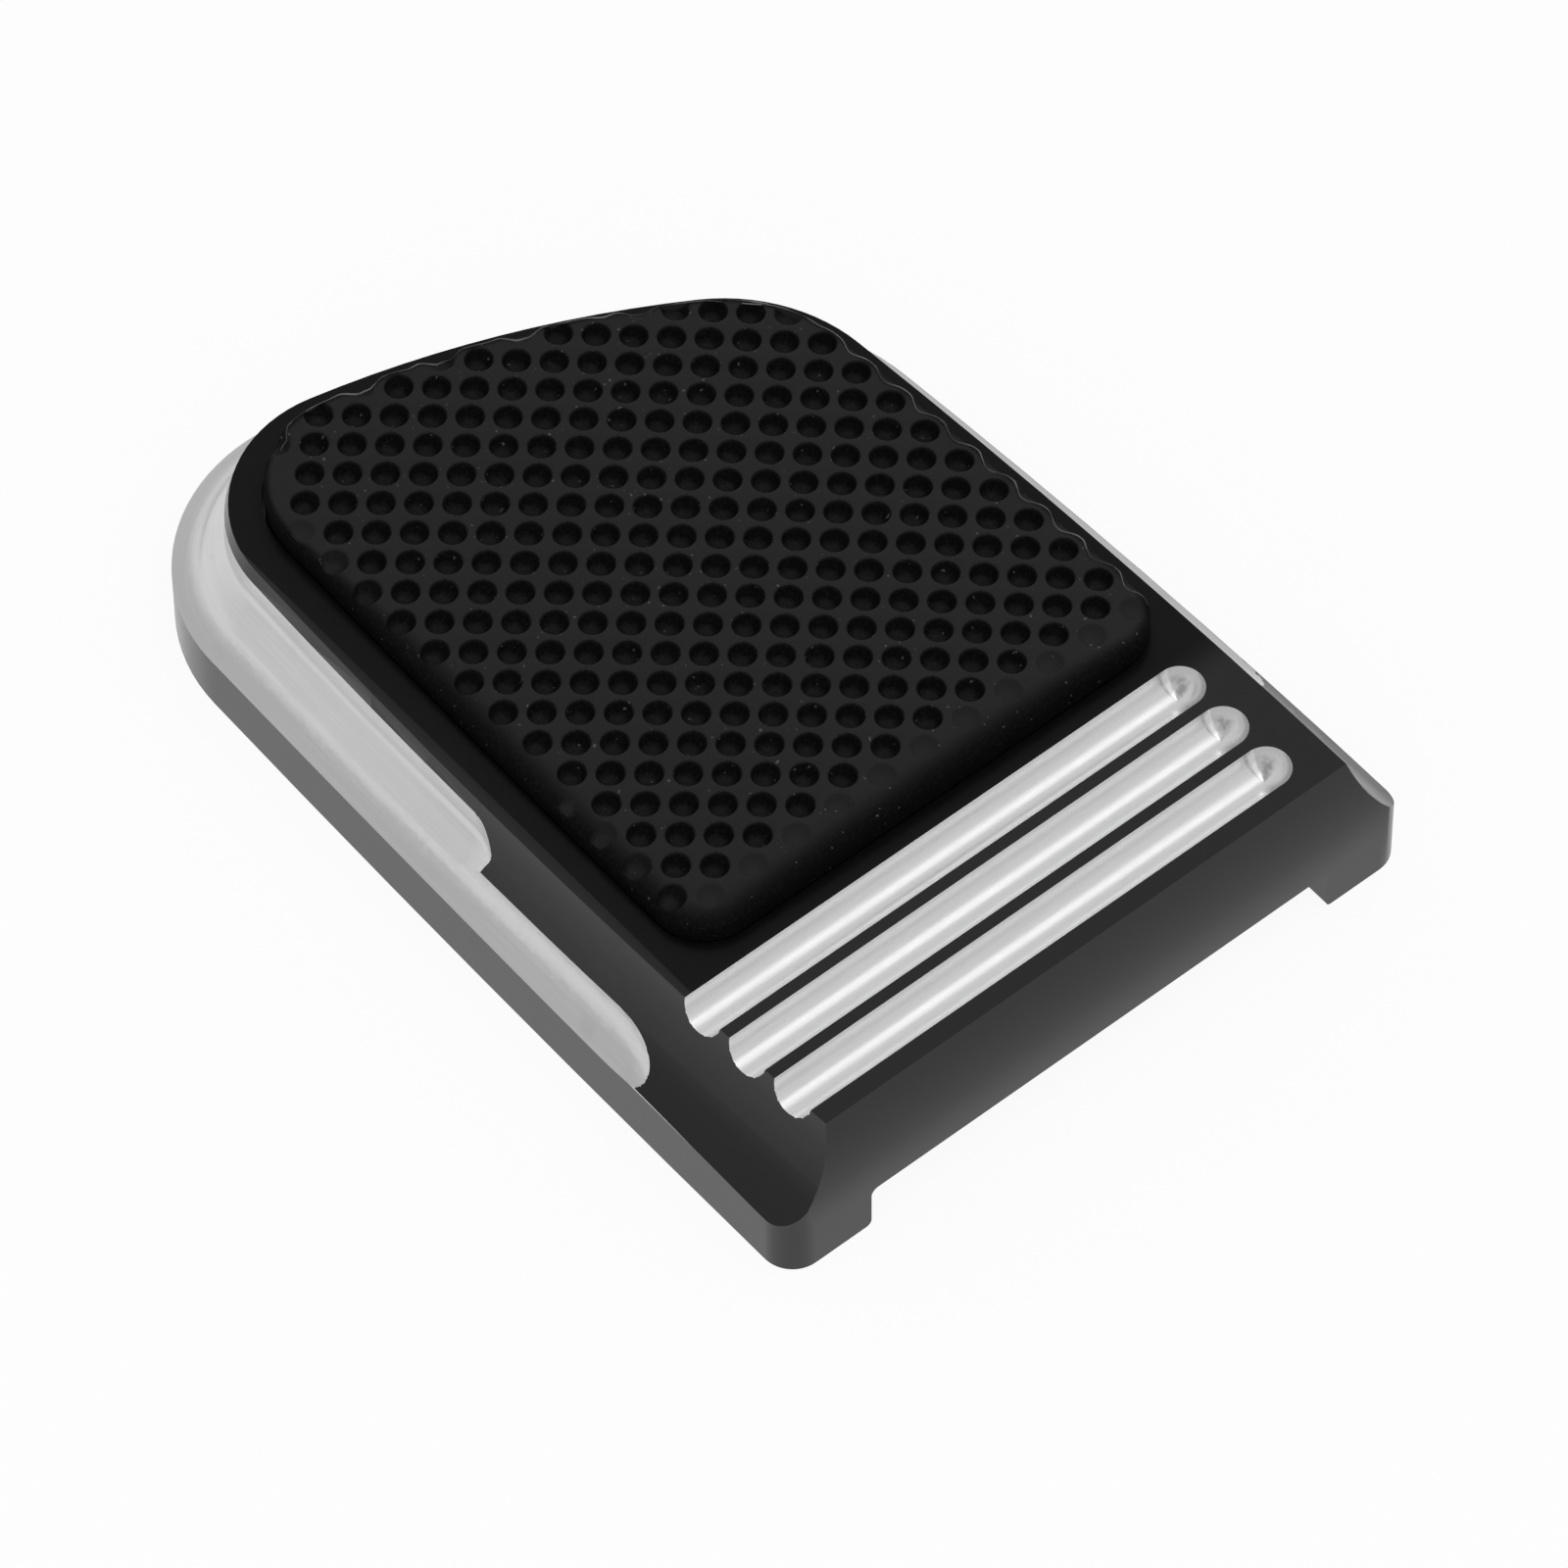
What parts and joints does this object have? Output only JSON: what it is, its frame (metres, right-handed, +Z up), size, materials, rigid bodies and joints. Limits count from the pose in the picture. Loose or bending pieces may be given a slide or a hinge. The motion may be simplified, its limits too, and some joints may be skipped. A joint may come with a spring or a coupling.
{
  "type": "brake pedal pad",
  "caption": "Billet cover for a motorbike's foot brake pedal: a round-ended aluminium pad with a dimpled rubber tread that slips over the pedal's plate.",
  "frame": {"origin": "middle of the outer box on the bottom plane of the pad", "axes": "+X to the right of the rider, +Y towards the rounded end of the pad, +Z up through the rubber tread"},
  "size_m": [0.082, 0.113, 0.022],
  "materials": {
    "anodised_aluminium": "black satin anodised, with bright milled scallops and grooves",
    "tread_rubber": "moulded matt black with round dimples",
    "screw_steel": "black oxide"
  },
  "bodies": {
    "root": {"pad_body": "anodised_aluminium", "rubber_tread": "tread_rubber", "set_screw_front": "screw_steel", "set_screw_middle": "screw_steel", "set_screw_rear": "screw_steel"}
  },
  "joints": []
}
